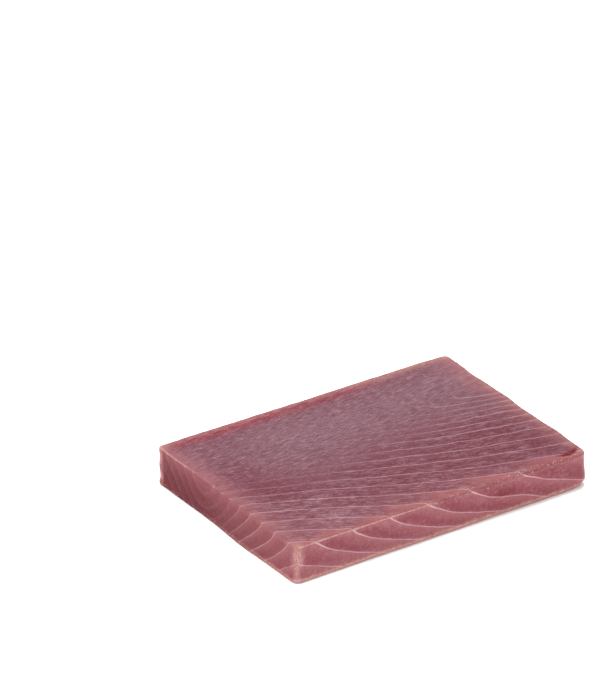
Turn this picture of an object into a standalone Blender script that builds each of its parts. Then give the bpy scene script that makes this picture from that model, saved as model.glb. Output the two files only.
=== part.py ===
"""A raw tuna block: one flat, four-sided cut from a tuna loin, as a single closed solid.

Metres, +Z up. X runs along the long sides and Y across them. The front is the long side at -Y
and the left end is the short side at -X. The block lies on its flat underside, and the origin
is at the middle of it.
"""
import math

import bmesh
import bpy

# The cut as a true rectangle
LENGTH = 0.1500
WIDTH = 0.1048
THICKNESS = 0.0182

# How far the knife left each corner off that rectangle, as (x, y), at the underside and at the top
CORNERS = ("front_left", "front_right", "back_right", "back_left")
CORNER_OFFSET_BELOW = {
    "front_left": (-0.0003, 0.0008),
    "front_right": (0.0021, 0.0012),
    "back_right": (0.0010, 0.0004),
    "back_left": (-0.0004, 0.0015),
}
CORNER_OFFSET_ABOVE = {
    "front_left": (0.0002, 0.0000),
    "front_right": (0.0006, -0.0010),
    "back_right": (0.0018, 0.0014),
    "back_left": (0.0001, 0.0022),
}

# Radius of each upright corner seen from above, at the underside and at the top
CORNER_RADIUS = {
    "front_left": (0.0036, 0.0018),
    "front_right": (0.0040, 0.0040),
    "back_right": (0.0028, 0.0022),
    "back_left": (0.0018, 0.0015),
}

# Rounding of the top rim along each side; the front rim is crisp at the left and soft at the right
RIM_RADIUS = {"front": 0.0007, "right": 0.0018, "back": 0.0010, "left": 0.0010}
FRONT_RIM_SOFT_RADIUS = 0.0016
FRONT_RIM_TURNS_SOFT = (0.35, 0.60)
RIM_BLEND = 0.0035
UNDERSIDE_RADIUS = 0.0008

# The foot of the front right corner is rounded under, the foot of the left side bulges, and so
# does the right side at half its height, close to the front
CORNER_TUCK_RADIUS = 0.0026
CORNER_TUCK_REACH = 0.0085
LEFT_BULGE = 0.0006
LEFT_BULGE_PLACE = 0.0384
LEFT_BULGE_REACH = 0.0150
RIGHT_BULGE = 0.0005
RIGHT_BULGE_REACH = 0.0120

# The top falls away in a shallow band along the back edge and the right end
BACK_BAND = {"width": 0.0060, "drop": 0.0002}
RIGHT_BAND = {"width": 0.0045, "drop": 0.0002}

# The uneven run of each side: height of the waves, waves along the side, and where they start
SIDE_WAVE = {
    "front": (0.00012, 2.2, 0.10),
    "right": (0.00030, 2.6, 0.35),
    "back": (0.00012, 1.7, 0.60),
    "left": (0.00022, 1.1, 0.95),
}
WAVE_LEAN = 0.35

# Slow swell of the top face
SWELL_HEIGHT = 0.00016
SWELL_LENGTH = 0.070
SWELL_SKEW = 0.6

# Muscle flakes: nested cones that open to the right. The faces of the cut show them as curved
# bands, which narrow towards the row of cone tips, and their walls run on down the sides.
BAND_WIDTH = 0.0058
BAND_WIDTH_GAIN = 0.105
TIP_ROW_Y = 0.0188
TIP_ROW_SOFTNESS = 0.0080
RUN_PER_METRE = 18.5
RUN_BEND = 39.3
RUN_BEND_CENTRE = -0.035
RUN_BEND_LENGTH = 0.067
TIP_CROWDING = 45.7
TIP_CROWDING_Y = 0.0150
TIP_CROWDING_REACH = 0.0162
SLIDE_WITH_DEPTH = 0.28
SLIDE_BEND = 68.0
SINK_WITH_DEPTH = 0.38
FLAKE_START = 3.644
FLAKE_RELIEF = 0.00012
FLAKE_FADE = 0.0040

# A small torn hollow in the top, close to the front right corner
HOLLOW_CENTRE = (0.0680, -0.0488)
HOLLOW_REACH = (0.0042, 0.0016)
HOLLOW_DEPTH = 0.0008

# Mesh lines: distances in from each side, then even steps between them, and rings down the sides
RIM_LINES = (0.0, 0.0003, 0.0009, 0.0020, 0.0042)
TOP_STEP = 0.0028
WALL_HEIGHTS = (0.0148, 0.0122, 0.0096, 0.0070, 0.0045, 0.0022)
UNDERSIDE_ANGLES = (0.0, 40.0, 90.0)
SHARP_EDGE_ANGLE = 50.0

FLESH_COLOUR = (0.315, 0.098, 0.132, 1.0)
FLESH_ROUGHNESS = 0.42


def smooth_step(low, high, value):
    """Goes from 0 at low to 1 at high without a kink."""
    t = min(max((value - low) / (high - low), 0.0), 1.0)
    return t * t * (3.0 - 2.0 * t)


def mesh_lines(length):
    """Distances along one side where the top face has a line of points."""
    inner = RIM_LINES[-1]
    steps = round((length - 2.0 * inner) / TOP_STEP)
    even = [inner + (length - 2.0 * inner) * k / steps for k in range(1, steps)]
    return list(RIM_LINES) + even + [length - line for line in reversed(RIM_LINES)]


def round_corner(a, b, radius):
    """Moves a point at distances a and b in from two sides onto the rounded rings of their corner."""
    depth = min(a, b)
    ring_radius = radius - depth
    along = max(a, b) - depth
    if ring_radius <= 0.0 or along >= ring_radius:
        return a, b
    angle = math.radians(45.0) * (1.0 - along / ring_radius)
    near = radius - ring_radius * math.cos(angle)
    far = radius - ring_radius * math.sin(angle)
    return (far, near) if a >= b else (near, far)


def side_wave(side, t, height):
    """How far a side stands off its straight line, at t along it."""
    size, waves, start = SIDE_WAVE[side]
    turn = waves * t + start + WAVE_LEAN * height / THICKNESS
    return size * (math.sin(2.0 * math.pi * turn) + 0.5 * math.sin(2.0 * math.pi * (2.3 * turn + start)))


def plan_point(a, b, height):
    """Where a point of the true rectangle lies on the real cut, at a height."""
    h = min(max(height / THICKNESS, 0.0), 1.0)
    radius = {name: low + (high - low) * h for name, (low, high) in CORNER_RADIUS.items()}
    left = a < LENGTH / 2.0
    front = b < WIDTH / 2.0
    from_end = a if left else LENGTH - a
    from_side = b if front else WIDTH - b
    corner = ("front_" if front else "back_") + ("left" if left else "right")
    from_end, from_side = round_corner(from_end, from_side, radius[corner])
    a = from_end if left else LENGTH - from_end
    b = from_side if front else WIDTH - from_side
    u = a / LENGTH
    v = b / WIDTH
    shares = ((1.0 - u) * (1.0 - v), u * (1.0 - v), u * v, (1.0 - u) * v)
    x = a - LENGTH / 2.0
    y = b - WIDTH / 2.0
    for share, name in zip(shares, CORNERS):
        below = CORNER_OFFSET_BELOW[name]
        above = CORNER_OFFSET_ABOVE[name]
        x += share * (below[0] + (above[0] - below[0]) * h)
        y += share * (below[1] + (above[1] - below[1]) * h)
    x += u * side_wave("right", v, height) - (1.0 - u) * side_wave("left", v, height)
    y += v * side_wave("back", u, height) - (1.0 - v) * side_wave("front", u, height)
    return x, y


def rim_radius(a, b):
    """Rounding of the top rim near a point, blended round the corners."""
    soft = smooth_step(*FRONT_RIM_TURNS_SOFT, a / LENGTH)
    radius = dict(RIM_RADIUS)
    radius["front"] += (FRONT_RIM_SOFT_RADIUS - RIM_RADIUS["front"]) * soft
    distance = {"front": b, "right": LENGTH - a, "back": WIDTH - b, "left": a}
    nearest = min(distance.values())
    weight = {side: math.exp((nearest - d) / RIM_BLEND) for side, d in distance.items()}
    return sum(weight[side] * radius[side] for side in radius) / sum(weight.values())


def rim_drop(depth, radius):
    """Fall of a quarter-round rim at a distance in from the outline."""
    if depth >= radius:
        return 0.0
    return radius - math.sqrt(max(0.0, radius * radius - (radius - depth) ** 2))


def band_drop(distance, band):
    """Fall of a shallow band that runs down to an edge."""
    return band["drop"] * (1.0 - smooth_step(0.0, band["width"], distance))


def flake_number(x, y, depth):
    """Counts the muscle flakes through the block; whole numbers lie on the walls between them."""
    slid = x - SLIDE_WITH_DEPTH * depth - SLIDE_BEND * depth * depth
    folded = TIP_ROW_Y - math.hypot(y - TIP_ROW_Y, TIP_ROW_SOFTNESS) - SINK_WITH_DEPTH * depth
    across = -math.log(1.0 - BAND_WIDTH_GAIN * folded / BAND_WIDTH) / BAND_WIDTH_GAIN
    bend = RUN_BEND * RUN_BEND_LENGTH * math.tanh((slid - RUN_BEND_CENTRE) / RUN_BEND_LENGTH)
    crowding = TIP_CROWDING * max(slid, 0.0) * math.exp((folded - TIP_CROWDING_Y) / TIP_CROWDING_REACH)
    return FLAKE_START + across + RUN_PER_METRE * slid + bend + crowding


def flake_hollow(x, y, height, edge_distance):
    """How far the surface sinks along the walls between flakes, none close to an edge."""
    turn = 2.0 * math.pi * flake_number(x, y, THICKNESS - height)
    return FLAKE_RELIEF * (1.0 + math.cos(turn)) * smooth_step(0.0, FLAKE_FADE, edge_distance)


def swell(x, y, edge_distance):
    """Slow rise and fall of the top face."""
    turn = 2.0 * math.pi / SWELL_LENGTH
    waves = math.sin(turn * (x + SWELL_SKEW * y)) * math.cos(turn * (y - SWELL_SKEW * x))
    return SWELL_HEIGHT * waves * smooth_step(0.0, FLAKE_FADE, edge_distance)


def torn_hollow(x, y):
    """Depth of the torn hollow near the front right corner."""
    away = math.hypot((x - HOLLOW_CENTRE[0]) / HOLLOW_REACH[0], (y - HOLLOW_CENTRE[1]) / HOLLOW_REACH[1])
    return HOLLOW_DEPTH * math.exp(-away * away)


def top_point(a, b):
    """A point of the top face, down over its rounded rim to the sides."""
    depth = min(a, LENGTH - a, b, WIDTH - b)
    x, y = plan_point(a, b, THICKNESS)
    height = THICKNESS - rim_drop(depth, rim_radius(a, b))
    height -= band_drop(WIDTH - b, BACK_BAND) + band_drop(LENGTH - a, RIGHT_BAND)
    height += swell(x, y, depth) - flake_hollow(x, y, height, depth) - torn_hollow(x, y)
    return x, y, height


def wall_point(a, b, height, inset):
    """A point of the sides at a height, drawn in from the outline by an inset."""
    x, y = plan_point(a, b, height)
    inset += flake_hollow(x, y, height, min(height, THICKNESS - height)) + corner_tuck(a, b, height)
    inner_a = min(max(a, inset), LENGTH - inset)
    inner_b = min(max(b, inset), WIDTH - inset)
    x, y = plan_point(inner_a, inner_b, height)
    return x - left_bulge(a, b, height) + right_bulge(a, b, height), y, height


def corner_tuck(a, b, height):
    """How far the foot is drawn in near the front right corner."""
    if height >= CORNER_TUCK_RADIUS:
        return 0.0
    away = math.hypot(LENGTH - a, b) / CORNER_TUCK_REACH
    return rim_drop(height, CORNER_TUCK_RADIUS) * math.exp(-away * away)


def left_bulge(a, b, height):
    """How far the left side stands out, most at its foot."""
    if a > LENGTH / 2.0:
        return 0.0
    away = (b - LEFT_BULGE_PLACE) / LEFT_BULGE_REACH
    return LEFT_BULGE * math.exp(-away * away) * (1.0 - height / THICKNESS) * (1.0 - 2.0 * a / LENGTH)


def right_bulge(a, b, height):
    """How far the right side stands out near the front, most at half its height."""
    if a < LENGTH / 2.0:
        return 0.0
    h = height / THICKNESS
    away = b / RIGHT_BULGE_REACH
    return RIGHT_BULGE * math.exp(-away * away) * 4.0 * h * (1.0 - h) * (2.0 * a / LENGTH - 1.0)


def outline_places(columns, rows):
    """The places of the top face's border, counter-clockwise from the front left corner."""
    last_column = len(columns) - 1
    last_row = len(rows) - 1
    front = [(i, 0) for i in range(last_column)]
    right = [(last_column, j) for j in range(last_row)]
    back = [(i, last_row) for i in range(last_column, 0, -1)]
    left = [(0, j) for j in range(last_row, 0, -1)]
    return front + right + back + left


def wall_rings():
    """Height and inset of each ring of points down the sides, ending at the flat underside."""
    rings = [(height, 0.0) for height in WALL_HEIGHTS]
    for angle in UNDERSIDE_ANGLES:
        turn = math.radians(angle)
        height = UNDERSIDE_RADIUS * (1.0 - math.sin(turn))
        inset = UNDERSIDE_RADIUS * (1.0 - math.cos(turn))
        rings.append((height, inset))
    return rings


def build_flesh_mesh():
    """The whole block: top face, sides in rings, and one flat face underneath."""
    bm = bmesh.new()
    columns = mesh_lines(LENGTH)
    rows = mesh_lines(WIDTH)
    top = [[bm.verts.new(top_point(a, b)) for b in rows] for a in columns]
    for i in range(len(columns) - 1):
        for j in range(len(rows) - 1):
            bm.faces.new((top[i][j], top[i + 1][j], top[i + 1][j + 1], top[i][j + 1]))
    border = outline_places(columns, rows)
    upper = [top[i][j] for i, j in border]
    for height, inset in wall_rings():
        lower = [bm.verts.new(wall_point(columns[i], rows[j], height, inset)) for i, j in border]
        for k in range(len(border)):
            after = (k + 1) % len(border)
            bm.faces.new((upper[k], lower[k], lower[after], upper[after]))
        upper = lower
    underside = bm.faces.new(list(reversed(upper)))
    bmesh.ops.poke(bm, faces=[underside])
    centre_on_underside(bm)
    mesh = bpy.data.meshes.new("tuna_block")
    bm.to_mesh(mesh)
    bm.free()
    return mesh


def centre_on_underside(bm):
    """Slides the block so that the origin is under the middle of its box."""
    middle_x = (min(v.co.x for v in bm.verts) + max(v.co.x for v in bm.verts)) / 2.0
    middle_y = (min(v.co.y for v in bm.verts) + max(v.co.y for v in bm.verts)) / 2.0
    bmesh.ops.translate(bm, verts=bm.verts, vec=(-middle_x, -middle_y, 0.0))


def flesh_material():
    """Raw, moist tuna flesh."""
    material = bpy.data.materials.new("raw_tuna")
    material.use_nodes = True
    shader = material.node_tree.nodes["Principled BSDF"]
    shader.inputs["Base Color"].default_value = FLESH_COLOUR
    shader.inputs["Roughness"].default_value = FLESH_ROUGHNESS
    shader.inputs["Metallic"].default_value = 0.0
    return material


def clear_scene():
    """Starts from an empty scene."""
    for old in list(bpy.data.objects):
        bpy.data.objects.remove(old, do_unlink=True)


def build_tuna_block():
    """Adds the block to the scene."""
    mesh = build_flesh_mesh()
    mesh.shade_smooth()
    mesh.set_sharp_from_angle(angle=math.radians(SHARP_EDGE_ANGLE))
    mesh.materials.append(flesh_material())
    block = bpy.data.objects.new("tuna_block", mesh)
    bpy.context.scene.collection.objects.link(block)


clear_scene()
build_tuna_block()
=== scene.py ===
"""Raw tuna block: the finished surface of one flat, four-sided cut of tuna loin.

Metres, +Z up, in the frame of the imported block: X runs along the long sides, the front is at -Y
and the left end at -X. Thin pale walls of tissue divide the flesh into flakes. One rule counts the
flakes up to any point of the block, and the walls lie where the count is a whole number.
"""

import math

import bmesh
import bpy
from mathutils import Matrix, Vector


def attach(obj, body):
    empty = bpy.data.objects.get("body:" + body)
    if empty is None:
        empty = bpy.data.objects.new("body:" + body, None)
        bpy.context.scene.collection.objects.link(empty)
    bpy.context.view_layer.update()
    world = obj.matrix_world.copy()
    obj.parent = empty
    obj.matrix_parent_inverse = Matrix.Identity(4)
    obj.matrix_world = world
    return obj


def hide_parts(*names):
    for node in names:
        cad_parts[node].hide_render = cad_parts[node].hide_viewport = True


bl_info = {
    "name": "Raw Tuna Block",
    "version": (1, 0, 0),
    "blender": (4, 5, 0),
    "location": "3D View > Sidebar > Tuna",
    "description": "Flakes, relief and finish of a raw tuna block, and a plain stage for it",
    "category": "Add Mesh",
}

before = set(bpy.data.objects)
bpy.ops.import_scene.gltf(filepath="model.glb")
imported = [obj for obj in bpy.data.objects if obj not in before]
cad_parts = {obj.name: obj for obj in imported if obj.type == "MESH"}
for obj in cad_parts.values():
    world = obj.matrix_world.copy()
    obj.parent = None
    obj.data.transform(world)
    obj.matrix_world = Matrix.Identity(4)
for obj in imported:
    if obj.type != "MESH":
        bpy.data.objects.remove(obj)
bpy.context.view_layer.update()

SIDES = {
    "front": (0.0, -1.0, 0.0),
    "right": (1.0, 0.0, 0.0),
    "back": (0.0, 1.0, 0.0),
    "left": (-1.0, 0.0, 0.0),
    "top": (0.0, 0.0, 1.0),
}

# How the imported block's mesh becomes the cage of a smooth skin.
SUBDIVISION_LEVEL = 2
CAGE_ROUNDS = 3
UNDERSIDE_RING = 0.0004
LONGEST_MOVE = 0.00035
LONGEST_FOOT_MOVE = 0.00010
MANY_EDGES = 40
TUCK_LEAN = (-0.90, 0.44)
FAR_CORNER_TUCK = 0.40

# How the flake count is read: the shift of its origin, the y past which the walls turn straight
# down the front face, the step for its slope, and how squarely a side's faces look its way.
RULE_SHIFT = (0.00025, 0.00025, 0.0)
FRONT_RIM = -0.0517
SLOPE_STEP = 0.0002
FACING_LIMIT = 0.85
TYPICAL_BAND = 0.0065

# Directions of the strokes over the top, in X and Y.
STRAIGHT_LEAN = (0.997, 0.073)
CROSS_LEAN = (0.34, 0.94)

# The torn hollow at the front right corner of the top.
TORN_PLACE = (0.0674, -0.0504)
TORN_LEAN = (0.990, 0.141)
TORN_CURVE = 40.0
TORN_SIZE = (0.0046, 0.0012)

# Patches of the flesh, each as the middle and the reach in the two directions of its face.
WINE_PATCH = ((-0.069, 0.011), (0.006, 0.007))
RED_ON_FRONT = ((0.031, 0.0105), (0.0060, 0.0022))
RED_ON_LEFT = ((0.047, 0.0030), (0.0045, 0.0028))
# Where the top carries whitish streaks of painted wet sheen.
SHEEN_SMEAR_PATCHES = (((-0.045, -0.041), (0.013, 0.006)), ((-0.048, -0.024), (0.016, 0.007)))

# Pale flesh at the corners: two sides and how far it reaches from their edge.
TOP_CORNERS = (("front", "left", 0.0085), ("back", "left", 0.0050),
               ("back", "right", 0.0060), ("front", "right", 0.0030))
SIDE_CORNERS = (("front", "left", 0.0046), ("front", "right", 0.0036),
                ("back", "left", 0.0052), ("back", "right", 0.0036))

DARK_FLESH = (0.09, 0.012, 0.025, 1.0)
# Black, towards which the sides are mixed for their painted shade.
SIDE_SHADE_BLACK = (0.0, 0.0, 0.0, 1.0)

# The softbox that stands behind the block.
KEY_PLACE = (-0.55, 1.0, 1.1)
KEY_SIZE = 0.6
WASH_ANGLE = math.radians(12.0)


class TunaFlakeSettings(bpy.types.PropertyGroup):
    """Sizes of the flakes and of the relief on the cut."""

    top_height: bpy.props.FloatProperty(
        name="Top Height", description="Height of the top face above the underside",
        default=0.0182, unit="LENGTH")
    band_width: bpy.props.FloatProperty(
        name="Band Width", description="Width of a flake's band across the middle of the top",
        default=0.0058, unit="LENGTH")
    band_gain: bpy.props.FloatProperty(
        name="Band Gain", description="How fast the bands widen towards the front", default=0.105)
    tip_row: bpy.props.FloatProperty(
        name="Tip Row", description="Where across the block the row of cone tips runs",
        default=0.0188, unit="LENGTH")
    tip_softness: bpy.props.FloatProperty(
        name="Tip Softness", description="Rounding of the cone tips", default=0.0080, unit="LENGTH")
    run: bpy.props.FloatProperty(
        name="Run", description="Flakes per metre along the block, far from the bend", default=18.5)
    run_bend: bpy.props.FloatProperty(
        name="Run Bend", description="Extra flakes per metre where the walls bend", default=39.3)
    bend_place: bpy.props.FloatProperty(
        name="Bend Place", description="Where along the block the walls bend", default=-0.035,
        unit="LENGTH")
    bend_length: bpy.props.FloatProperty(
        name="Bend Length", description="Length over which the walls bend", default=0.067,
        unit="LENGTH")
    crowding: bpy.props.FloatProperty(
        name="Crowding", description="Extra flakes per metre along the row of tips", default=45.7)
    crowding_place: bpy.props.FloatProperty(
        name="Crowding Place", description="Fold at which the crowding is full", default=0.0150,
        unit="LENGTH")
    crowding_reach: bpy.props.FloatProperty(
        name="Crowding Reach", description="How far from the tips the crowding reaches",
        default=0.0162, unit="LENGTH")
    slide: bpy.props.FloatProperty(
        name="Slide", description="How far the walls slide to the right with depth", default=0.28)
    slide_bend: bpy.props.FloatProperty(
        name="Slide Bend", description="How much faster they slide further down", default=68.0)
    sink: bpy.props.FloatProperty(
        name="Sink", description="How far the walls fall back with depth", default=0.38)
    first: bpy.props.FloatProperty(
        name="First", description="Count at the origin of the rule", default=3.644)
    front_turn: bpy.props.FloatProperty(
        name="Front Turn", description="Part of a flake that the left half gains along the front",
        default=0.24)
    left_turn: bpy.props.FloatProperty(
        name="Left Turn", description="Part of a flake lost along the back of the left end",
        default=0.20)
    wobble: bpy.props.FloatProperty(
        name="Wobble", description="How far the walls stray from their smooth course",
        default=0.0004, unit="LENGTH")
    wall_ridge: bpy.props.FloatProperty(
        name="Wall Ridge", description="How far the walls stand above the flesh",
        default=0.00006, unit="LENGTH")
    ripple: bpy.props.FloatProperty(
        name="Ripple", description="Height of the ripple inside the flakes",
        default=0.00022, unit="LENGTH")
    wedge_width: bpy.props.FloatProperty(
        name="Wedge Width", description="Widest part of the worn wedge of each flake at the rim",
        default=0.0045, unit="LENGTH")
    wedge_drop: bpy.props.FloatProperty(
        name="Wedge Drop", description="How far the wedges are worn down", default=0.00035,
        unit="LENGTH")
    crumble: bpy.props.FloatProperty(
        name="Crumble", description="Roughness of the foot of the sides", default=0.00030,
        unit="LENGTH")
    corner_tuck: bpy.props.FloatProperty(
        name="Corner Tuck", description="How far the foot turns in at the front right corner",
        default=0.0014, unit="LENGTH")
    torn_depth: bpy.props.FloatProperty(
        name="Torn Depth", description="Depth of the torn hollow at the front right corner",
        default=0.00040, unit="LENGTH")


def screen_colour(red, green, blue):
    """A colour given by its 0 to 255 screen values, as Blender's linear colour."""
    def linear(value):
        share = value / 255.0
        return share / 12.92 if share <= 0.04045 else ((share + 0.055) / 1.055) ** 2.4
    return (linear(red), linear(green), linear(blue), 1.0)


def colour_property(name, description, red, green, blue):
    """A colour setting, its default given by screen values."""
    return bpy.props.FloatVectorProperty(
        name=name, description=description, subtype="COLOR", size=4, min=0.0, max=1.0,
        default=screen_colour(red, green, blue))


class TunaColourSettings(bpy.types.PropertyGroup):
    """Colours of the flesh."""

    wine: colour_property("Wine", "Fresh flesh of the top", 124, 51, 68)
    # Mauve is partly painted sheen: it holds the wet reflection of the top as well as its own greyish haze.
    mauve: colour_property("Mauve", "Greyish bloom over the middle and back of the top", 138, 94, 107)
    blush: colour_property("Blush", "Paler flesh of the top near the front", 150, 86, 96)
    salmon: colour_property("Salmon", "Paler flesh along the rims", 172, 108, 113)
    crimson: colour_property("Crimson", "Red strip inside the back edge", 149, 54, 70)
    coral: colour_property("Coral", "Outer strip of the back edge", 180, 106, 106)
    peach: colour_property("Peach", "The foot of the sides", 200, 146, 134)
    front_rose: colour_property("Front Rose", "Flesh of the front, right and back faces", 156, 80, 89)
    front_wine: colour_property("Front Wine", "Darker flesh behind each wall of those faces", 136, 56, 68)
    left_rose: colour_property("Left Rose", "Flesh of the left face near the front", 151, 77, 84)
    burgundy: colour_property("Burgundy", "Dark flesh at the back of the left face", 100, 9, 27)
    # Walls also colours the whitish streaks of painted sheen.
    wall: colour_property("Walls", "Pale tissue between the flakes", 208, 172, 180)
    # Tissue also colours the painted glints of the wet surface.
    tissue: colour_property("Tissue", "White tissue on edges and corners", 228, 184, 172)
    torn: colour_property("Torn", "Dark red of torn flesh", 118, 10, 24)


class TunaStageSettings(bpy.types.PropertyGroup):
    """Floor, light and camera."""

    floor_colour: bpy.props.FloatVectorProperty(
        name="Floor", description="Pale floor", subtype="COLOR", size=4,
        default=(0.94, 0.94, 0.94, 1.0))
    floor_size: bpy.props.FloatProperty(
        name="Floor Size", description="Width of the floor", default=8.0, unit="LENGTH")
    sky_low: bpy.props.FloatProperty(
        name="Sky Low", description="Brightness of the sky near the horizon", default=0.45)
    sky_high: bpy.props.FloatProperty(
        name="Sky High", description="Brightness added straight overhead", default=1.00)
    floor_wash: bpy.props.FloatProperty(
        name="Floor Wash", description="Extra overhead light that only the floor takes", default=2.6)
    key_power: bpy.props.FloatProperty(
        name="Key Power", description="Power of the softbox behind the block", default=6.0,
        unit="POWER")
    azimuth: bpy.props.FloatProperty(
        name="Azimuth", description="Angle of the camera round the block",
        default=math.radians(-34.11), subtype="ANGLE")
    elevation: bpy.props.FloatProperty(
        name="Elevation", description="Angle of the camera above the floor",
        default=math.radians(27.80), subtype="ANGLE")
    distance: bpy.props.FloatProperty(
        name="Distance", description="From the camera to the point it looks at",
        default=2.491, unit="LENGTH")
    target: bpy.props.FloatVectorProperty(
        name="Target", description="Point on the floor that the camera looks at",
        default=(0.04895, 0.12855, 0.0), subtype="TRANSLATION")
    lens: bpy.props.FloatProperty(
        name="Lens", description="Focal length in millimetres", default=291.2)


class Wire:
    """One value on its way through a node tree; arithmetic on wires adds the Math nodes for it."""

    def __init__(self, tree, socket):
        self.tree = tree
        self.socket = socket

    def __add__(self, other):
        return math_node(self.tree, "ADD", self, other)

    def __radd__(self, other):
        return math_node(self.tree, "ADD", other, self)

    def __sub__(self, other):
        return math_node(self.tree, "SUBTRACT", self, other)

    def __rsub__(self, other):
        return math_node(self.tree, "SUBTRACT", other, self)

    def __mul__(self, other):
        return math_node(self.tree, "MULTIPLY", self, other)

    def __rmul__(self, other):
        return math_node(self.tree, "MULTIPLY", other, self)

    def __truediv__(self, other):
        return math_node(self.tree, "DIVIDE", self, other)


def plug(tree, socket, value):
    """Links a wire to a socket, or sets the socket to a plain value."""
    if isinstance(value, Wire):
        tree.links.new(value.socket, socket)
    else:
        socket.default_value = value


def math_node(tree, operation, *values):
    """A Math node of one operation."""
    node = tree.nodes.new("ShaderNodeMath")
    node.operation = operation
    for socket, value in zip(node.inputs, values):
        plug(tree, socket, value)
    return Wire(tree, node.outputs[0])


def function(operation, *values):
    """A Math node whose first value is a wire."""
    return math_node(values[0].tree, operation, *values)


def smooth_step(value, low, high):
    """Goes from 0 at low to 1 at high without a kink; low may be the greater."""
    node = value.tree.nodes.new("ShaderNodeMapRange")
    node.interpolation_type = "SMOOTHSTEP"
    rising = low < high
    plug(value.tree, node.inputs["Value"], value)
    node.inputs["From Min"].default_value = low if rising else high
    node.inputs["From Max"].default_value = high if rising else low
    node.inputs["To Min"].default_value = 0.0 if rising else 1.0
    node.inputs["To Max"].default_value = 1.0 if rising else 0.0
    return Wire(value.tree, node.outputs["Result"])


def hill(value, centre, reach):
    """A soft hill: 1 at the centre, falling off over the reach."""
    away = (value - centre) / reach
    return function("EXPONENT", away * away * -1.0)


def patch(first, second, place):
    """A soft patch on a face: 1 at its middle, falling off over its reach each way."""
    (first_middle, second_middle), (first_reach, second_reach) = place
    return hill(first, first_middle, first_reach) * hill(second, second_middle, second_reach)


def vector(x, y, z):
    """Three wires or numbers as one vector."""
    tree = next(value.tree for value in (x, y, z) if isinstance(value, Wire))
    node = tree.nodes.new("ShaderNodeCombineXYZ")
    for socket, value in zip(node.inputs, (x, y, z)):
        plug(tree, socket, value)
    return Wire(tree, node.outputs[0])


def vector_node(operation, *values):
    """A Vector Math node; its output is the number for a dot product or a length."""
    tree = values[0].tree
    node = tree.nodes.new("ShaderNodeVectorMath")
    node.operation = operation
    entries = [socket for socket in node.inputs if socket.name == "Vector"]
    if operation == "SCALE":
        entries = [node.inputs[0], node.inputs["Scale"]]
    for socket, value in zip(entries, values):
        plug(tree, socket, value)
    is_number = operation in ("DOT_PRODUCT", "LENGTH")
    return Wire(tree, node.outputs["Value" if is_number else "Vector"])


def split(value):
    """The three parts of a vector."""
    node = value.tree.nodes.new("ShaderNodeSeparateXYZ")
    plug(value.tree, node.inputs[0], value)
    return [Wire(value.tree, socket) for socket in node.outputs]


def noise(where, size, detail=2.0, roughness=0.5, output="Fac", distortion=0.0):
    """Noise from 0 to 1 with features of about a size, in the units of where."""
    node = where.tree.nodes.new("ShaderNodeTexNoise")
    plug(where.tree, node.inputs["Vector"], where)
    node.inputs["Scale"].default_value = 1.0 / size
    node.inputs["Detail"].default_value = detail
    node.inputs["Roughness"].default_value = roughness
    node.inputs["Distortion"].default_value = distortion
    return Wire(where.tree, node.outputs[output])


def number_properties(settings):
    """The plain number settings of a group, in order."""
    return [prop for prop in settings.bl_rna.properties if prop.type == "FLOAT" and not prop.is_array]


def add_number_inputs(tree, settings):
    """Gives a tree one named input for each number in a settings group."""
    for prop in number_properties(settings):
        socket = tree.interface.new_socket(prop.name, in_out="INPUT", socket_type="NodeSocketFloat")
        socket.description = prop.description
        socket.default_value = prop.default


def input_wires(tree, settings):
    """The wires that come from a tree's number inputs, by setting."""
    entry = tree.nodes.new("NodeGroupInput")
    return {prop.identifier: Wire(tree, entry.outputs[prop.name]) for prop in number_properties(settings)}


def flake_number_tree(settings):
    """Node group: the number of flakes up to a point of the block."""
    tree = bpy.data.node_groups.new("Flake Number", "GeometryNodeTree")
    tree.interface.new_socket("Point", in_out="INPUT", socket_type="NodeSocketVector")
    tree.interface.new_socket("Number", in_out="OUTPUT", socket_type="NodeSocketFloat")
    add_number_inputs(tree, settings)
    rule = input_wires(tree, settings)
    point = Wire(tree, tree.nodes.new("NodeGroupInput").outputs["Point"])
    x, y, z = split(point)
    y = function("MAXIMUM", y, FRONT_RIM)
    depth = rule["top_height"] - z
    slid = x - rule["slide"] * depth - rule["slide_bend"] * depth * depth
    off_row = y - rule["tip_row"]
    hypotenuse = function("SQRT", off_row * off_row + rule["tip_softness"] * rule["tip_softness"])
    folded = rule["tip_row"] - hypotenuse - rule["sink"] * depth
    shrink = 1.0 - rule["band_gain"] * folded / rule["band_width"]
    across = function("LOGARITHM", shrink, math.e) * -1.0 / rule["band_gain"]
    bend = function("TANH", (slid - rule["bend_place"]) / rule["bend_length"])
    bent = rule["run_bend"] * rule["bend_length"] * bend
    nearness = function("EXPONENT", (folded - rule["crowding_place"]) / rule["crowding_reach"])
    crowded = rule["crowding"] * function("MAXIMUM", slid, 0.0) * nearness
    at_front = smooth_step(y, -0.0380, FRONT_RIM)
    low_right = hill(x, 0.036, 0.022) * smooth_step(z, 0.0115, 0.0050) * 1.25
    front_part = at_front * (smooth_step(x, 0.010, -0.055) - 0.75 - low_right) * rule["front_turn"]
    left_part = smooth_step(x, -0.0560, -0.0752) * smooth_step(y, -0.030, -0.004) * rule["left_turn"]
    count = rule["first"] + across + rule["run"] * slid + bent + crowded + front_part - left_part
    leave = tree.nodes.new("NodeGroupOutput")
    tree.links.new(count.socket, leave.inputs["Number"])
    return tree


def flakes_at(point, group, rule, settings):
    """The number of flakes up to a point, through the Flake Number group."""
    tree = point.tree
    node = tree.nodes.new("GeometryNodeGroup")
    node.node_tree = group
    plug(tree, node.inputs["Point"], point)
    for prop in number_properties(settings):
        plug(tree, node.inputs[prop.name], rule[prop.identifier])
    return Wire(tree, node.outputs["Number"])


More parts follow.
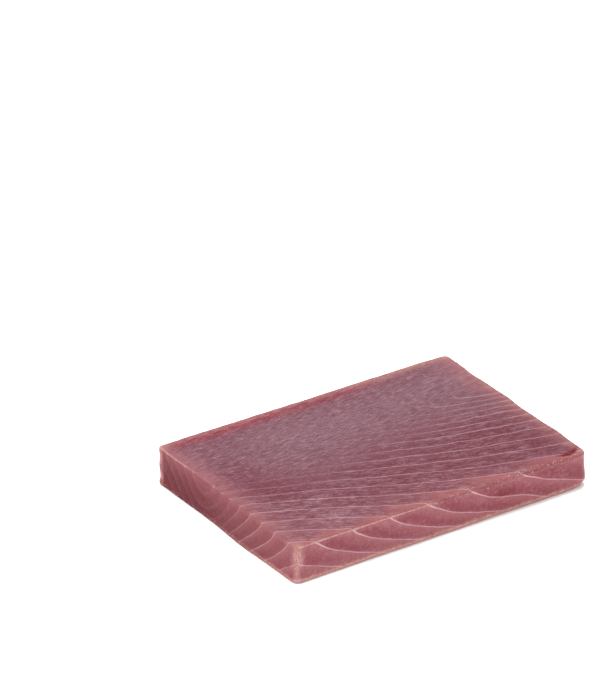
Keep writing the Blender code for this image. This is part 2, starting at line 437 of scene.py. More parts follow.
def distance_from_side(tree, cage, normal_facing, direction, point):
    """Distance from a point to the faces of the cut that look one way."""
    facing = vector_node("DOT_PRODUCT", normal_facing, direction)
    part = tree.nodes.new("GeometryNodeSeparateGeometry")
    part.domain = "FACE"
    tree.links.new(cage, part.inputs["Geometry"])
    plug(tree, part.inputs["Selection"], function("GREATER_THAN", facing, FACING_LIMIT))
    near = tree.nodes.new("GeometryNodeProximity")
    near.target_element = "FACES"
    tree.links.new(part.outputs["Selection"], near.inputs[0])
    plug(tree, near.inputs["Sample Position"], point)
    return Wire(tree, near.outputs["Distance"])


def store(tree, geometry, name, value):
    """Keeps a number on every point of the mesh under a name."""
    node = tree.nodes.new("GeometryNodeStoreNamedAttribute")
    node.data_type = "FLOAT"
    node.domain = "POINT"
    node.inputs["Name"].default_value = name
    tree.links.new(geometry, node.inputs["Geometry"])
    plug(tree, node.inputs["Value"], value)
    return node.outputs["Geometry"]


def kept(tree, name):
    """Reads a number kept on the points."""
    node = tree.nodes.new("GeometryNodeInputNamedAttribute")
    node.data_type = "FLOAT"
    node.inputs["Name"].default_value = name
    return Wire(tree, node.outputs["Attribute"])


def flesh_tree(settings, material):
    """Geometry Nodes: a fine skin over the cut, its flake count and its relief."""
    tree = bpy.data.node_groups.new("Tuna Flesh", "GeometryNodeTree")
    tree.interface.new_socket("Geometry", in_out="INPUT", socket_type="NodeSocketGeometry")
    tree.interface.new_socket("Geometry", in_out="OUTPUT", socket_type="NodeSocketGeometry")
    add_number_inputs(tree, settings)
    rule = input_wires(tree, settings)
    cage = tree.nodes.new("NodeGroupInput").outputs["Geometry"]

    fine = tree.nodes.new("GeometryNodeSubdivisionSurface")
    fine.inputs["Level"].default_value = SUBDIVISION_LEVEL
    tree.links.new(cage, fine.inputs["Mesh"])
    skin = fine.outputs["Mesh"]

    position = Wire(tree, tree.nodes.new("GeometryNodeInputPosition").outputs["Position"])
    normal = Wire(tree, tree.nodes.new("GeometryNodeInputNormal").outputs["Normal"])
    group = flake_number_tree(settings)
    in_rule = vector_node("ADD", position, RULE_SHIFT)
    drift = vector_node("SUBTRACT", noise(position, 0.010, detail=2.0, output="Color"), (0.5, 0.5, 0.5))
    strayed = vector_node("ADD", in_rule, vector_node("SCALE", drift, rule["wobble"] * 4.0))
    flake = flakes_at(strayed, group, rule, settings)
    here = flakes_at(in_rule, group, rule, settings)
    slopes = []
    for axis in range(3):
        step = [0.0, 0.0, 0.0]
        step[axis] = SLOPE_STEP
        ahead = flakes_at(vector_node("ADD", in_rule, step), group, rule, settings)
        slopes.append((ahead - here) / SLOPE_STEP)
    slope = vector(*slopes)
    along_normal = vector_node("DOT_PRODUCT", slope, normal)
    on_surface = vector_node("SUBTRACT", slope, vector_node("SCALE", normal, along_normal))
    steepness = vector_node("LENGTH", on_surface)

    skin = store(tree, skin, "flake", flake)
    skin = store(tree, skin, "flakes_per_metre", steepness)
    for side, direction in SIDES.items():
        away = distance_from_side(tree, cage, normal, direction, position)
        skin = store(tree, skin, "from_" + side, away)

    skin = add_relief(tree, skin, rule, position, normal)

    smooth = tree.nodes.new("GeometryNodeSetShadeSmooth")
    tree.links.new(skin, smooth.inputs["Geometry"])
    finish = tree.nodes.new("GeometryNodeSetMaterial")
    finish.inputs["Material"].default_value = material
    tree.links.new(smooth.outputs["Geometry"], finish.inputs["Geometry"])
    real = tree.nodes.new("GeometryNodeRealizeInstances")
    tree.links.new(finish.outputs["Geometry"], real.inputs["Geometry"])
    leave = tree.nodes.new("NodeGroupOutput")
    tree.links.new(real.outputs["Geometry"], leave.inputs["Geometry"])
    return tree


def add_relief(tree, skin, rule, position, normal):
    """Moves the skin: ridges, ripple, worn rims, the torn hollow, crumbly foot, turned-in corners."""
    flake = kept(tree, "flake")
    steepness = kept(tree, "flakes_per_metre")
    share = function("FRACT", flake)
    to_wall = function("ABSOLUTE", function("FRACT", flake + 0.5) - 0.5) / steepness
    on_top = smooth_step(kept(tree, "from_top"), 0.0006, 0.0001)
    x, y, z = split(position)

    ridge = rule["wall_ridge"] * hill(to_wall, 0.0, 0.0007)
    back_part = smooth_step(y - x * 0.20, -0.010, 0.014)
    flowing = noise(vector(x * 0.9 - y * 0.4, flake * 0.0044, z), 0.0026, detail=1.0) - 0.5
    along, across = turned(x, y, STRAIGHT_LEAN)
    straight = noise(vector(along * 0.5, across, z), 0.0016, detail=1.0) - 0.5
    ripple = rule["ripple"] * (flowing + (straight - flowing) * back_part) * on_top
    wear = 0.0
    for side in ("front", "left"):
        width = rule["wedge_width"] * share + 0.0004
        near = smooth_step(kept(tree, "from_" + side) / width, 1.0, 0.0)
        wear = rule["wedge_drop"] * share * near * on_top + wear
    hollow_x, hollow_y = in_torn_hollow(x, y)
    hollow = hill(hollow_x, 0.0, TORN_SIZE[0]) * hill(hollow_y, 0.0, TORN_SIZE[1]) * on_top
    foot = smooth_step(z, 0.0032, 0.0004)
    lumps = noise(position, 0.0016, detail=2.0) - 0.5
    crumble = rule["crumble"] * lumps * foot
    above_floor = smooth_step(z, 0.0002, 0.0008)
    height = (ridge + ripple - wear - rule["torn_depth"] * hollow + crumble) * above_floor

    move = tree.nodes.new("GeometryNodeSetPosition")
    tree.links.new(skin, move.inputs["Geometry"])
    inward = turned_in_corners(tree, rule, z)
    offset = vector_node("ADD", vector_node("SCALE", normal, height), inward)
    plug(tree, move.inputs["Offset"], offset)
    return move.outputs["Geometry"]


def turned_in_corners(tree, rule, z):
    """How far the foot moves in at the front right corner and, less, at the back left one."""
    near = function("MAXIMUM", kept(tree, "from_front"), kept(tree, "from_right"))
    far = function("MAXIMUM", kept(tree, "from_back"), kept(tree, "from_left"))
    low = smooth_step(z, 0.0042, 0.0)
    far_tuck = smooth_step(far, 0.0050, 0.0010) * FAR_CORNER_TUCK
    tuck = smooth_step(near, 0.0070, 0.0010) - far_tuck
    tuck = tuck * low * low * rule["corner_tuck"]
    return vector(tuck * TUCK_LEAN[0], tuck * TUCK_LEAN[1], 0.0)


def turned(x, y, lean):
    """Distances along and across a direction on the top."""
    return x * lean[0] + y * lean[1], y * lean[0] - x * lean[1]


def in_torn_hollow(x, y):
    """Distances along and across the curved, torn hollow at the front right corner."""
    along, across = turned(x - TORN_PLACE[0], y - TORN_PLACE[1], TORN_LEAN)
    return along, across - along * along * TORN_CURVE


def cage_from_node(node):
    """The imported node's mesh as one skin of quads, ready for subdivision."""
    mesh = node.data.copy()
    mesh.materials.clear()
    bm = bmesh.new()
    bm.from_mesh(mesh)
    bmesh.ops.remove_doubles(bm, verts=bm.verts, dist=1e-6)
    bmesh.ops.join_triangles(
        bm, faces=bm.faces, angle_face_threshold=math.radians(40.0),
        angle_shape_threshold=math.radians(60.0))
    for edge in bm.edges:
        edge.smooth = True
    ring_underside(bm)
    fit_cage(bm)
    bm.to_mesh(mesh)
    bm.free()
    return mesh


def ring_underside(bm):
    """Makes the underside one face inside a narrow ring, which holds the line of the foot."""
    centre = [vert for vert in bm.verts if len(vert.link_edges) > MANY_EDGES]
    bmesh.ops.dissolve_verts(bm, verts=centre)
    flat = [face for face in bm.faces if len(face.verts) > MANY_EDGES]
    bmesh.ops.inset_region(bm, faces=flat, thickness=UNDERSIDE_RING, use_even_offset=True)


def limit_place(vert):
    """Where the subdivided skin passes a corner of its cage."""
    count = len(vert.link_edges)
    neighbours = sum((edge.other_vert(vert).co for edge in vert.link_edges), Vector())
    middles = sum((face.calc_center_median() for face in vert.link_faces), Vector())
    return (vert.co * count * (count - 1) + neighbours * 2.0 + middles * 4.0) / (count * (count + 5))


def fit_cage(bm):
    """Moves the cage's corners, each within a limit, so the smooth skin meets the cut's points."""
    underside = max(bm.faces, key=lambda face: len(face.verts))
    held = set(underside.verts)
    wanted = {vert: vert.co.copy() for vert in bm.verts if vert not in held}
    for _ in range(CAGE_ROUNDS):
        misses = {vert: place - limit_place(vert) for vert, place in wanted.items()}
        for vert, miss in misses.items():
            moved = vert.co + miss - wanted[vert]
            longest = LONGEST_MOVE if wanted[vert].z > UNDERSIDE_RING else LONGEST_FOOT_MOVE
            vert.co = wanted[vert] + moved * min(1.0, longest / max(moved.length, 1e-9))
            vert.co.z = max(vert.co.z, 0.0)


def set_tree_inputs(modifier, tree, settings):
    """Sets each named input of a tree on its modifier."""
    for prop in number_properties(settings):
        socket = tree.interface.items_tree[prop.name]
        modifier[socket.identifier] = getattr(settings, prop.identifier)


def bake_modifier(obj, name):
    """The evaluated object as a plain mesh with no modifier left."""
    graph = bpy.context.evaluated_depsgraph_get()
    mesh = bpy.data.meshes.new_from_object(obj.evaluated_get(graph))
    mesh.name = name
    obj.modifiers.clear()
    obj.data = mesh
    return obj


def blend(share, first, second):
    """Goes from one colour to another by a share, which is a wire."""
    node = share.tree.nodes.new("ShaderNodeMix")
    node.data_type = "RGBA"
    plug(share.tree, node.inputs[0], share)
    plug(share.tree, node.inputs[6], first)
    plug(share.tree, node.inputs[7], second)
    return Wire(share.tree, node.outputs[2])


def shader_attribute(tree, name):
    """A number kept on the mesh, read by a material."""
    node = tree.nodes.new("ShaderNodeAttribute")
    node.attribute_type = "GEOMETRY"
    node.attribute_name = name
    return Wire(tree, node.outputs["Fac"])


def read_skin(tree):
    """What the material knows of each point: place, flake count and distances from the sides."""
    coordinates = tree.nodes.new("ShaderNodeTexCoord")
    skin = {"point": Wire(tree, coordinates.outputs["Object"])}
    skin["x"], skin["y"], skin["z"] = split(skin["point"])
    for name in ("flake", "flakes_per_metre", *("from_" + side for side in SIDES)):
        skin[name] = shader_attribute(tree, name)
    skin["share"] = function("FRACT", skin["flake"])
    nearest = function("ABSOLUTE", function("FRACT", skin["flake"] + 0.5) - 0.5)
    skin["to_wall"] = nearest / skin["flakes_per_metre"]
    for side in SIDES:
        skin["on_" + side] = smooth_step(skin["from_" + side], 0.0008, 0.0002)
    lag = smooth_step(skin["x"], -0.030, -0.066) * 0.014
    skin["back_part"] = smooth_step(skin["y"] - skin["x"] * 0.20 - lag, -0.016, 0.012)
    skin["patches"] = noise(skin["point"], 0.014, detail=2.0) - 0.5
    # Painted highlights: sparse tiny glints of the wet surface, laid into the colour.
    skin["painted_glints"] = smooth_step(noise(skin["point"], 0.0007, detail=1.0), 0.60, 0.70)
    skin["rims"] = rim_zones(skin)
    return skin


def grain(skin, length, width, detail=2.0, distortion=0.0):
    """Noise drawn out along the flakes: strokes of a length and a width."""
    across = skin["flake"] * (TYPICAL_BAND / width)
    where = vector(skin["x"] / length, (skin["y"] + skin["z"]) / length, across)
    return noise(where, 1.0, detail=detail, distortion=distortion)


def straight_grain(skin, length, width, lean, detail=2.0):
    """Noise drawn out in one direction over the top."""
    along, across = turned(skin["x"], skin["y"], lean)
    return noise(vector(along / length, across / width, skin["z"] / width), 1.0, detail=detail)


def mixed(share, first, second):
    """Goes from one number to another by a share."""
    return first + (second - first) * share


def zone_colour(skin, colours):
    """The slow changes of colour over the block."""
    side = side_colour(skin, colours)
    return blend(skin["on_top"], side, top_colour(skin, colours))


def top_colour(skin, colours):
    """Wine flesh under a greyish haze that is partly the flesh's own and partly a painted sheen of wet
    reflection, with paler rims and the red strip at the back.
    """
    x, y, patches = skin["x"], skin["y"], skin["patches"]
    lag = smooth_step(x, -0.030, -0.066) * 0.016
    right_lag = function("MAXIMUM", x, 0.0) * 0.14
    # Partly painted sheen: the greyish mauve over the middle and back of the top stands for its wet
    # reflection as well as the flesh's own haze.
    bloom_and_sheen = smooth_step(y - lag - right_lag + patches * 0.022, -0.030, 0.026)
    bloom_and_sheen = bloom_and_sheen * (1.0 - 0.42 * smooth_step(x, -0.025, -0.065))
    bloom_and_sheen = bloom_and_sheen * (1.0 - 0.30 * smooth_step(y, 0.030, 0.046))
    colour = blend(bloom_and_sheen, tuple(colours.wine), tuple(colours.mauve))
    fresh = smooth_step(y + x * 0.12 + patches * 0.012, -0.026, -0.052) * smooth_step(x, 0.085, 0.010)
    colour = blend(fresh * 0.85, colour, tuple(colours.blush))
    colour = blend(patch(x, y, WINE_PATCH) * 0.90, colour, tuple(colours.wine))
    tones = (colours.salmon, colours.coral, colours.salmon)
    for (soft, wedge, strength), tone in zip(skin["rims"], tones):
        colour = blend(soft * strength, colour, tuple(tone))
        colour = blend(wedge * 0.62, colour, tuple(tone))
    back = skin["from_back"] + patches * 0.0022
    red = smooth_step(back, 0.0098, 0.0060) * smooth_step(x + patches * 0.04, 0.070, 0.005)
    colour = blend(red * smooth_step(x, -0.076, -0.069) * 0.95, colour, tuple(colours.crimson))
    colour = blend(smooth_step(back, 0.0050, 0.0018), colour, tuple(colours.coral))
    for first, second, width in TOP_CORNERS:
        corner = away_from_edge(skin, first, second) + patches * 0.003
        colour = blend(smooth_step(corner, width, 0.0010) * 0.65, colour, tuple(colours.peach))
    far_right = smooth_step(back, 0.0080, 0.0005) * smooth_step(x, 0.000, 0.045)
    colour = blend(far_right * 0.60, colour, tuple(colours.peach))
    return blend(smooth_step(skin["from_right"], 0.0050, 0.0005) * 0.28, colour, tuple(colours.peach))


def rim_zones(skin):
    """Shares of the pale rims of the top: for each side a soft band and a wedge in front of each wall."""
    y, share, patches = skin["y"], skin["share"], skin["patches"]
    frayed = 1.0 + patches * 1.2
    left = (smooth_step(skin["from_left"] + patches * 0.008, 0.0140, 0.0005),
            smooth_step(skin["from_left"] * frayed / (share * 0.0090 + 0.0016), 1.20, 0.10), 0.55)
    front = (smooth_step(skin["from_front"] + patches * 0.005, 0.0085, 0.0005),
             smooth_step(skin["from_front"] * frayed / (share * 0.0100 + 0.0006), 1.20, 0.25), 0.50)
    right = (smooth_step(skin["from_right"] - y * 0.06 + patches * 0.010, 0.0150, 0.0010),
             smooth_step(skin["from_right"] * frayed / (share * 0.0070 + 0.0014), 1.20, 0.20), 0.66)
    return left, front, right


def side_colour(skin, colours):
    """Rose flesh, paler in front of each wall and darker behind it; burgundy at the back of the left; painted
    shade over each side, less at the foot.
    """
    x, y, z, share, patches = skin["x"], skin["y"], skin["z"], skin["share"], skin["patches"]
    on_left = skin["on_left"]
    away = function("MAXIMUM", (0.045 - y) / 0.095, 0.0)
    depth = 1.06 - function("POWER", function("MINIMUM", away, 1.0), 1.6)
    up = function("MAXIMUM", (z - 0.003) / 0.0148, 0.0)
    amount = depth * (1.0 - function("MINIMUM", up * up, 1.0))
    left = blend(amount, tuple(colours.left_rose), tuple(colours.burgundy))
    colour = blend(on_left, tuple(colours.front_rose), left)
    behind = hill(share + patches * 0.25, 0.28, 0.24)
    colour = blend(behind * (0.70 - 0.42 * on_left), colour, tuple(colours.front_wine))
    in_front = smooth_step(share + patches * 0.20, 0.45, 1.00)
    colour = blend(in_front * (0.55 - 0.42 * on_left * depth), colour, tuple(colours.salmon))
    low = smooth_step(z + patches * 0.003 + smooth_step(x, -0.030, 0.020) * 0.002, 0.0086, 0.0015)
    colour = blend(low * (1.0 - on_left) * 0.60, colour, tuple(colours.salmon))
    rim = smooth_step(skin["from_top"] + patches * 0.002, 0.0032, 0.0004)
    colour = blend(rim * (0.55 - 0.48 * on_left * depth), colour, tuple(colours.salmon))
    red = patch(x, z, RED_ON_FRONT) * skin["on_front"] + patch(y, z, RED_ON_LEFT) * on_left
    colour = blend(function("MINIMUM", red * 0.75 * (1.0 + patches), 1.0), colour, tuple(colours.torn))
    ragged = (noise(skin["point"], 0.0022, detail=3.0) - 0.5) * 0.0030
    near_front = function("MAXIMUM", on_left, skin["on_front"])
    for first, second, width in SIDE_CORNERS:
        pale = smooth_step(away_from_edge(skin, first, second) + ragged, width, 0.0010)
        colour = blend(pale * (0.55 + 0.25 * near_front), colour, tuple(colours.salmon))
    foot = smooth_step(z + ragged, 0.0028, 0.0008)
    # Painted shade: each side is mixed a little towards black to offset the light the floor throws up onto
    # it; less at the foot, a little more on the left.
    colour = blend(0.12 + 0.02 * on_left - 0.10 * foot, colour, SIDE_SHADE_BLACK)
    redder = smooth_step(x, -0.010, 0.040) * skin["on_front"] * 0.10
    colour = blend(redder, colour, tuple(colours.torn))
    return blend(foot * (0.92 - on_left * (0.35 + 0.60 * depth)), colour, tuple(colours.peach))


def flake_shading(skin, colour):
    """The top of each flake is darker through its middle."""
    middle = hill(skin["share"], 0.42, 0.27) * skin["on_top"] * (0.20 - 0.12 * skin["back_part"])
    return blend(middle, colour, DARK_FLESH)


def away_from_edge(skin, first, second):
    """The greater distance from two sides, which is small near the edge they share."""
    return function("MAXIMUM", skin["from_" + first], skin["from_" + second])


def edge_line(skin, first, second, width):
    """A line along the edge between two sides, fading over a width."""
    return smooth_step(away_from_edge(skin, first, second), width, width * 0.35)


def flesh_marks(skin):
    """Strengths of the fine marks: walls, strokes, dashes, whitish streaks of painted sheen, painted glints,
    a painted shadow line inside the left rim, and edge tissue.
    """
    x, y, z, share, on_top = skin["x"], skin["y"], skin["z"], skin["share"], skin["on_top"]
    back_part = skin["back_part"] * on_top
    marks = {}
    broken = noise(skin["point"], 0.004, detail=2.0)
    # Patches of painted wet sheen on the top; the walls also widen and fray more there.
    sheen_smears = patch(x, y, SHEEN_SMEAR_PATCHES[0]) + patch(x, y, SHEEN_SMEAR_PATCHES[1])
    sheen_smears = function("MINIMUM", sheen_smears, 1.0) * on_top
    in_rim = function("MAXIMUM", *(wedge for _, wedge, _ in skin["rims"][:2]))
    rough = 1.0 - 0.70 * function("MAXIMUM", in_rim, skin["rims"][2][0] * 0.8)

    fray = (noise(skin["point"], 0.0009, detail=2.0) - 0.5) * (0.00034 + 0.0003 * sheen_smears)
    at_rim = smooth_step(z, 0.0095, 0.0178) * (1.0 - on_top)
    width = 0.00030 + 0.00012 * sheen_smears + 0.00010 * at_rim * skin["on_front"]
    line = smooth_step((skin["to_wall"] + fray) / width, 1.25, 0.30)
    faint = 1.0 - skin["on_left"] * (0.42 + 0.53 * smooth_step(y, -0.020, 0.004))
    tips = hill(y, 0.0148, 0.0034) * smooth_step(x, 0.030, 0.042) * on_top
    shown = (1.0 - 0.90 * back_part) * faint + tips
    marks["walls"] = line * (0.25 + 1.0 * broken + 0.20 * at_rim) * shown

    flowing = grain(skin, 0.0034, 0.00060, detail=2.0, distortion=0.5)
    straight = straight_grain(skin, 0.0034, 0.00045, STRAIGHT_LEAN, detail=1.0)
    broad = grain(skin, 0.0075, 0.0016, detail=2.0, distortion=0.4)
    broad_straight = straight_grain(skin, 0.0130, 0.0015, STRAIGHT_LEAN)
    crossing = straight_grain(skin, 0.0045, 0.00050, CROSS_LEAN)
    fine = mixed(back_part, flowing, straight)
    marks["strokes"] = fine
    marks["broad"] = mixed(back_part, broad, broad_straight)
    amount = (0.62 + 0.38 * on_top + 0.25 * back_part - 0.42 * skin["on_left"]) * rough
    marks["pale_strokes"] = smooth_step(fine, 0.52, 0.68) * amount
    marks["dark_strokes"] = smooth_step(fine, 0.47, 0.33) * amount
    amount = on_top * rough * (1.0 - 0.45 * back_part)
    marks["pale_bands"] = smooth_step(marks["broad"], 0.50, 0.68) * amount
    marks["dark_bands"] = smooth_step(marks["broad"], 0.50, 0.32) * amount
    cross_place = smooth_step(noise(skin["point"], 0.016, detail=1.0), 0.44, 0.60) * on_top * rough
    marks["cross"] = smooth_step(crossing, 0.55, 0.68) * cross_place * (1.0 - back_part)
    pits = straight_grain(skin, 0.0013, 0.00045, STRAIGHT_LEAN, detail=1.0)
    marks["pits"] = smooth_step(pits, 0.62, 0.72) * back_part * rough
    # Painted sheen: whitish streaks of wet reflection over those patches.
    marks["sheen_smears"] = sheen_smears * (0.25 + 0.75 * smooth_step(fine, 0.46, 0.62)) * smooth_step(broken, 0.30, 0.60)
    mottle = noise(skin["point"], 0.0018, detail=4.0, roughness=0.62)
    on_cut_side = (1.0 - on_top) * (1.0 - 0.60 * skin["on_left"])
    marks["pale_mottle"] = smooth_step(mottle, 0.50, 0.76) * on_cut_side
    marks["dark_mottle"] = smooth_step(mottle, 0.49, 0.30) * on_cut_side
    fine_grain = noise(skin["point"], 0.0006, detail=1.0)
    marks["pale_grain"] = smooth_step(fine_grain, 0.52, 0.70) * rough
    marks["dark_grain"] = smooth_step(fine_grain, 0.48, 0.30) * rough

    beads = noise(vector(x / 0.0008, 0.0, 0.0), 1.0, detail=0.0)
    left_part = smooth_step(x + (broken - 0.5) * 0.04, 0.016, -0.024)
    front_edge = edge_line(skin, "top", "front", 0.0008)
    marks["front_edge"] = front_edge * left_part * (0.35 + 0.65 * smooth_step(beads, 0.35, 0.60))
    knot = smooth_step(skin["to_wall"], 0.0011, 0.0002)
    far_part = smooth_step(y, 0.024, 0.036)
    left_edge = edge_line(skin, "top", "left", 0.0009)
    marks["left_edge"] = left_edge * (far_part * 0.60 + knot * 0.50 + 0.02) * (0.4 + 0.8 * broken)
    # Painted shadow: a thin dark line just inside the left rim of the top.
    crease_shadow = edge_line(skin, "top", "left", 0.0014) * (1.0 - left_edge) * on_top
    marks["crease_shadow"] = crease_shadow * smooth_step(share, 0.80, 0.55) * smooth_step(y, 0.014, 0.004)
    marks["front_walls"] = marks["walls"] * skin["on_front"] * at_rim
    corner = edge_line(skin, "front", "left", 0.0036)
    dots = smooth_step(noise(skin["point"], 0.0005, detail=1.0), 0.42, 0.62)
    sharp = edge_line(skin, "front", "left", 0.0010)
    sharp = sharp * smooth_step(noise(skin["point"], 0.0020), 0.30, 0.55)
    thin = edge_line(skin, "front", "right", 0.0007)
    marks["corner"] = corner * (0.22 + 0.32 * dots) + sharp + thin * 0.8
    rim = edge_line(skin, "top", "front", 0.0030) * (1.0 - left_part)
    foot = smooth_step(z, 0.0026, 0.0012)
    # Painted glints go along the front rim, the foot and the front left corner, and lightly over the top.
    glinting = rim + foot * 0.9 + corner + 0.10 * on_top
    marks["painted_glints"] = skin["painted_glints"] * function("MINIMUM", glinting, 1.0)
    hollow_x, hollow_y = in_torn_hollow(x, y)
    away = vector_node("LENGTH", vector(hollow_x / 0.0062, hollow_y / 0.0016, 0.0))
    marks["torn"] = smooth_step(away + (broken - 0.5) * 0.7, 1.20, 0.60) * on_top
    return marks


def marked_colour(skin, marks, colour, colours):
    """Lays the fine marks over the zone colours."""
    wall, tissue, dark = tuple(colours.wall), tuple(colours.tissue), DARK_FLESH
    layers = (
        ("dark_bands", 0.20, dark), ("pale_bands", 0.15, wall),
        ("dark_strokes", 0.30, dark), ("pale_strokes", 0.24, wall), ("cross", 0.15, wall),
        ("pits", 0.55, dark), ("dark_mottle", 0.24, dark), ("pale_mottle", 0.16, wall),
        ("dark_grain", 0.16, dark), ("pale_grain", 0.12, wall),
        # The first entry of the next line is the whitish streaks of painted sheen.
        ("sheen_smears", 0.36, wall), ("walls", 0.66, wall), ("front_walls", 0.35, tissue),
        # The next line is the painted shadow line just inside the left rim.
        ("crease_shadow", 0.50, dark),
        ("front_edge", 0.80, tissue), ("left_edge", 0.60, tissue), ("corner", 0.50, tissue),
        # The first entry of the next line is the painted glints: tiny highlights of the wet surface.
        ("painted_glints", 0.60, tissue), ("torn", 0.92, tuple(colours.torn)),
    )
    for name, strength, layer in layers:
        colour = blend(function("MINIMUM", marks[name] * strength, 1.0), colour, layer)
    return colour


def flesh_material(colours):
    """Raw, moist flesh with pale walls between its flakes."""
    material = bpy.data.materials.new("raw_tuna_flesh")
    material.use_nodes = True
    tree = material.node_tree
    shader = tree.nodes["Principled BSDF"]
    skin = read_skin(tree)
    marks = flesh_marks(skin)
    colour = flake_shading(skin, zone_colour(skin, colours))
    colour = marked_colour(skin, marks, colour, colours)
    plug(tree, shader.inputs["Base Color"], colour)
    plug(tree, shader.inputs["Roughness"], 0.34 + 0.22 * noise(skin["point"], 0.006))
    shader.inputs["IOR"].default_value = 1.36
    plug(tree, shader.inputs["Specular IOR Level"], 0.34 - 0.16 * skin["on_left"])
    shader.inputs["Subsurface Weight"].default_value = 0.12
    shader.inputs["Subsurface Radius"].default_value = (1.0, 0.35, 0.25)
    shader.inputs["Subsurface Scale"].default_value = 0.0015
    height = marks["strokes"] * 0.9 + marks["walls"] * 0.5 + marks["front_edge"] * 0.6 - marks["pits"] * 0.5
    height = height + 0.35 * noise(skin["point"], 0.0007, detail=2.0)
    bump = tree.nodes.new("ShaderNodeBump")
    bump.inputs["Strength"].default_value = 0.5
    bump.inputs["Distance"].default_value = 0.00015
    plug(tree, bump.inputs["Height"], height)
    tree.links.new(bump.outputs["Normal"], shader.inputs["Normal"])
    return material


class TUNA_OT_cut_flesh(bpy.types.Operator):
    """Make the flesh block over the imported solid, with its flakes and relief"""

    bl_idname = "tuna.cut_flesh"
    bl_label = "Cut Flesh"

    def execute(self, context):
        settings = context.scene.tuna_flakes
        mesh = cage_from_node(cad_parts["tuna_block"])
        flesh = bpy.data.objects.new("tuna_flesh", mesh)
        context.scene.collection.objects.link(flesh)
        material = flesh_material(context.scene.tuna_colours)
        tree = flesh_tree(settings, material)
        modifier = flesh.modifiers.new("Flesh", "NODES")
        modifier.node_group = tree
        set_tree_inputs(modifier, tree, settings)
        bake_modifier(flesh, "tuna_flesh")
        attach(flesh, "root")
        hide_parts("tuna_block")
        return {"FINISHED"}


def add_floor(stage):
    """The pale floor."""
    half = stage.floor_size / 2.0
    mesh = bpy.data.meshes.new("floor")
    corners = [(-half, -half, 0.0), (half, -half, 0.0), (half, half, 0.0), (-half, half, 0.0)]
    mesh.from_pydata(corners, [], [(0, 1, 2, 3)])
    material = bpy.data.materials.new("pale_floor")
    material.use_nodes = True
    shader = material.node_tree.nodes["Principled BSDF"]
    shader.inputs["Base Color"].default_value = stage.floor_colour
    shader.inputs["Roughness"].default_value = 0.9
    shader.inputs["Specular IOR Level"].default_value = 0.0
    mesh.materials.append(material)
    floor = bpy.data.objects.new("floor", mesh)
    bpy.context.scene.collection.objects.link(floor)
    return floor


def add_softbox(name, place, target, size, power):
    """A soft square lamp that looks at a point."""
    lamp = bpy.data.lights.new(name, "AREA")
    lamp.shape = "SQUARE"
    lamp.size = size
    lamp.energy = power
    obj = bpy.data.objects.new(name, lamp)
    obj.location = place
    obj.rotation_euler = (Vector(target) - Vector(place)).to_track_quat("-Z", "Y").to_euler()
    bpy.context.scene.collection.objects.link(obj)


def add_sky(low, high):
    """White light from all round, brighter overhead."""
    world = bpy.data.worlds.new("studio")
    world.use_nodes = True
    tree = world.node_tree
    background = tree.nodes["Background"]
    background.inputs["Color"].default_value = (1.0, 1.0, 1.0, 1.0)
    direction = Wire(tree, tree.nodes.new("ShaderNodeTexCoord").outputs["Generated"])
    upward = function("MAXIMUM", split(direction)[2], 0.0)
    plug(tree, background.inputs["Strength"], low + high * upward * upward)
    bpy.context.scene.world = world


def add_floor_wash(floor, strength):
    """Broad overhead light for the floor alone, as on a lit photo table."""
    lamp = bpy.data.lights.new("floor_wash", "SUN")
    lamp.energy = strength
    lamp.angle = WASH_ANGLE
    wash = bpy.data.objects.new("floor_wash", lamp)
    lit = bpy.data.collections.new("lit_by_wash")
    lit.objects.link(floor)
    wash.light_linking.receiver_collection = lit
    bpy.context.scene.collection.objects.link(wash)


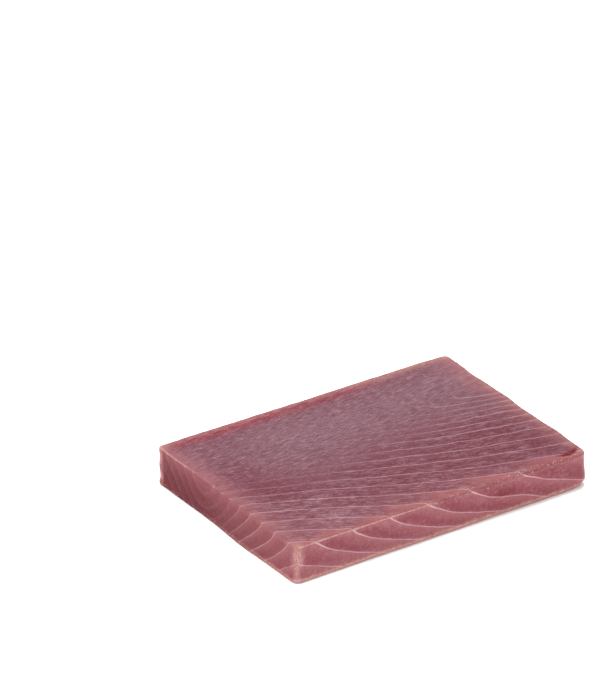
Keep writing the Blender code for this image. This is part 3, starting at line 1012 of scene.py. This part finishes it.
def add_camera(stage):
    """The camera at the angle the block is seen from."""
    data = bpy.data.cameras.new("camera")
    data.lens = stage.lens
    data.clip_start = 0.1
    data.clip_end = 20.0
    camera = bpy.data.objects.new("camera", data)
    back = Vector((
        math.sin(stage.azimuth) * math.cos(stage.elevation),
        -math.cos(stage.azimuth) * math.cos(stage.elevation),
        math.sin(stage.elevation)))
    target = Vector(stage.target)
    camera.location = target + back * stage.distance
    camera.rotation_euler = (-back).to_track_quat("-Z", "Y").to_euler()
    bpy.context.scene.collection.objects.link(camera)
    bpy.context.scene.camera = camera


class TUNA_OT_set_stage(bpy.types.Operator):
    """Add the pale floor, the soft light and the camera"""

    bl_idname = "tuna.set_stage"
    bl_label = "Set Stage"

    def execute(self, context):
        stage = context.scene.tuna_stage
        floor = add_floor(stage)
        add_sky(stage.sky_low, stage.sky_high)
        add_floor_wash(floor, stage.floor_wash)
        add_softbox("key_softbox", KEY_PLACE, (0.0, 0.0, 0.0), KEY_SIZE, stage.key_power)
        add_camera(stage)
        context.scene.view_settings.view_transform = "Standard"
        return {"FINISHED"}


class TUNA_PT_sidebar(bpy.types.Panel):
    """The block's settings and operators"""

    bl_idname = "TUNA_PT_sidebar"
    bl_label = "Raw Tuna Block"
    bl_space_type = "VIEW_3D"
    bl_region_type = "UI"
    bl_category = "Tuna"

    def draw(self, context):
        layout = self.layout
        for group in (context.scene.tuna_flakes, context.scene.tuna_colours, context.scene.tuna_stage):
            for prop in group.bl_rna.properties:
                if prop.type == "FLOAT":
                    layout.prop(group, prop.identifier)
        for operator in (TUNA_OT_cut_flesh, TUNA_OT_set_stage):
            layout.operator(operator.bl_idname)


CLASSES = (
    TunaFlakeSettings,
    TunaColourSettings,
    TunaStageSettings,
    TUNA_OT_cut_flesh,
    TUNA_OT_set_stage,
    TUNA_PT_sidebar,
)


def register():
    for cls in CLASSES:
        bpy.utils.register_class(cls)
    bpy.types.Scene.tuna_flakes = bpy.props.PointerProperty(type=TunaFlakeSettings)
    bpy.types.Scene.tuna_colours = bpy.props.PointerProperty(type=TunaColourSettings)
    bpy.types.Scene.tuna_stage = bpy.props.PointerProperty(type=TunaStageSettings)


def unregister():
    del bpy.types.Scene.tuna_stage
    del bpy.types.Scene.tuna_colours
    del bpy.types.Scene.tuna_flakes
    for cls in reversed(CLASSES):
        bpy.utils.unregister_class(cls)


def main():
    """Builds the stage and the block."""
    register()
    bpy.ops.tuna.set_stage()
    bpy.ops.tuna.cut_flesh()


if __name__ == "__main__":
    main()
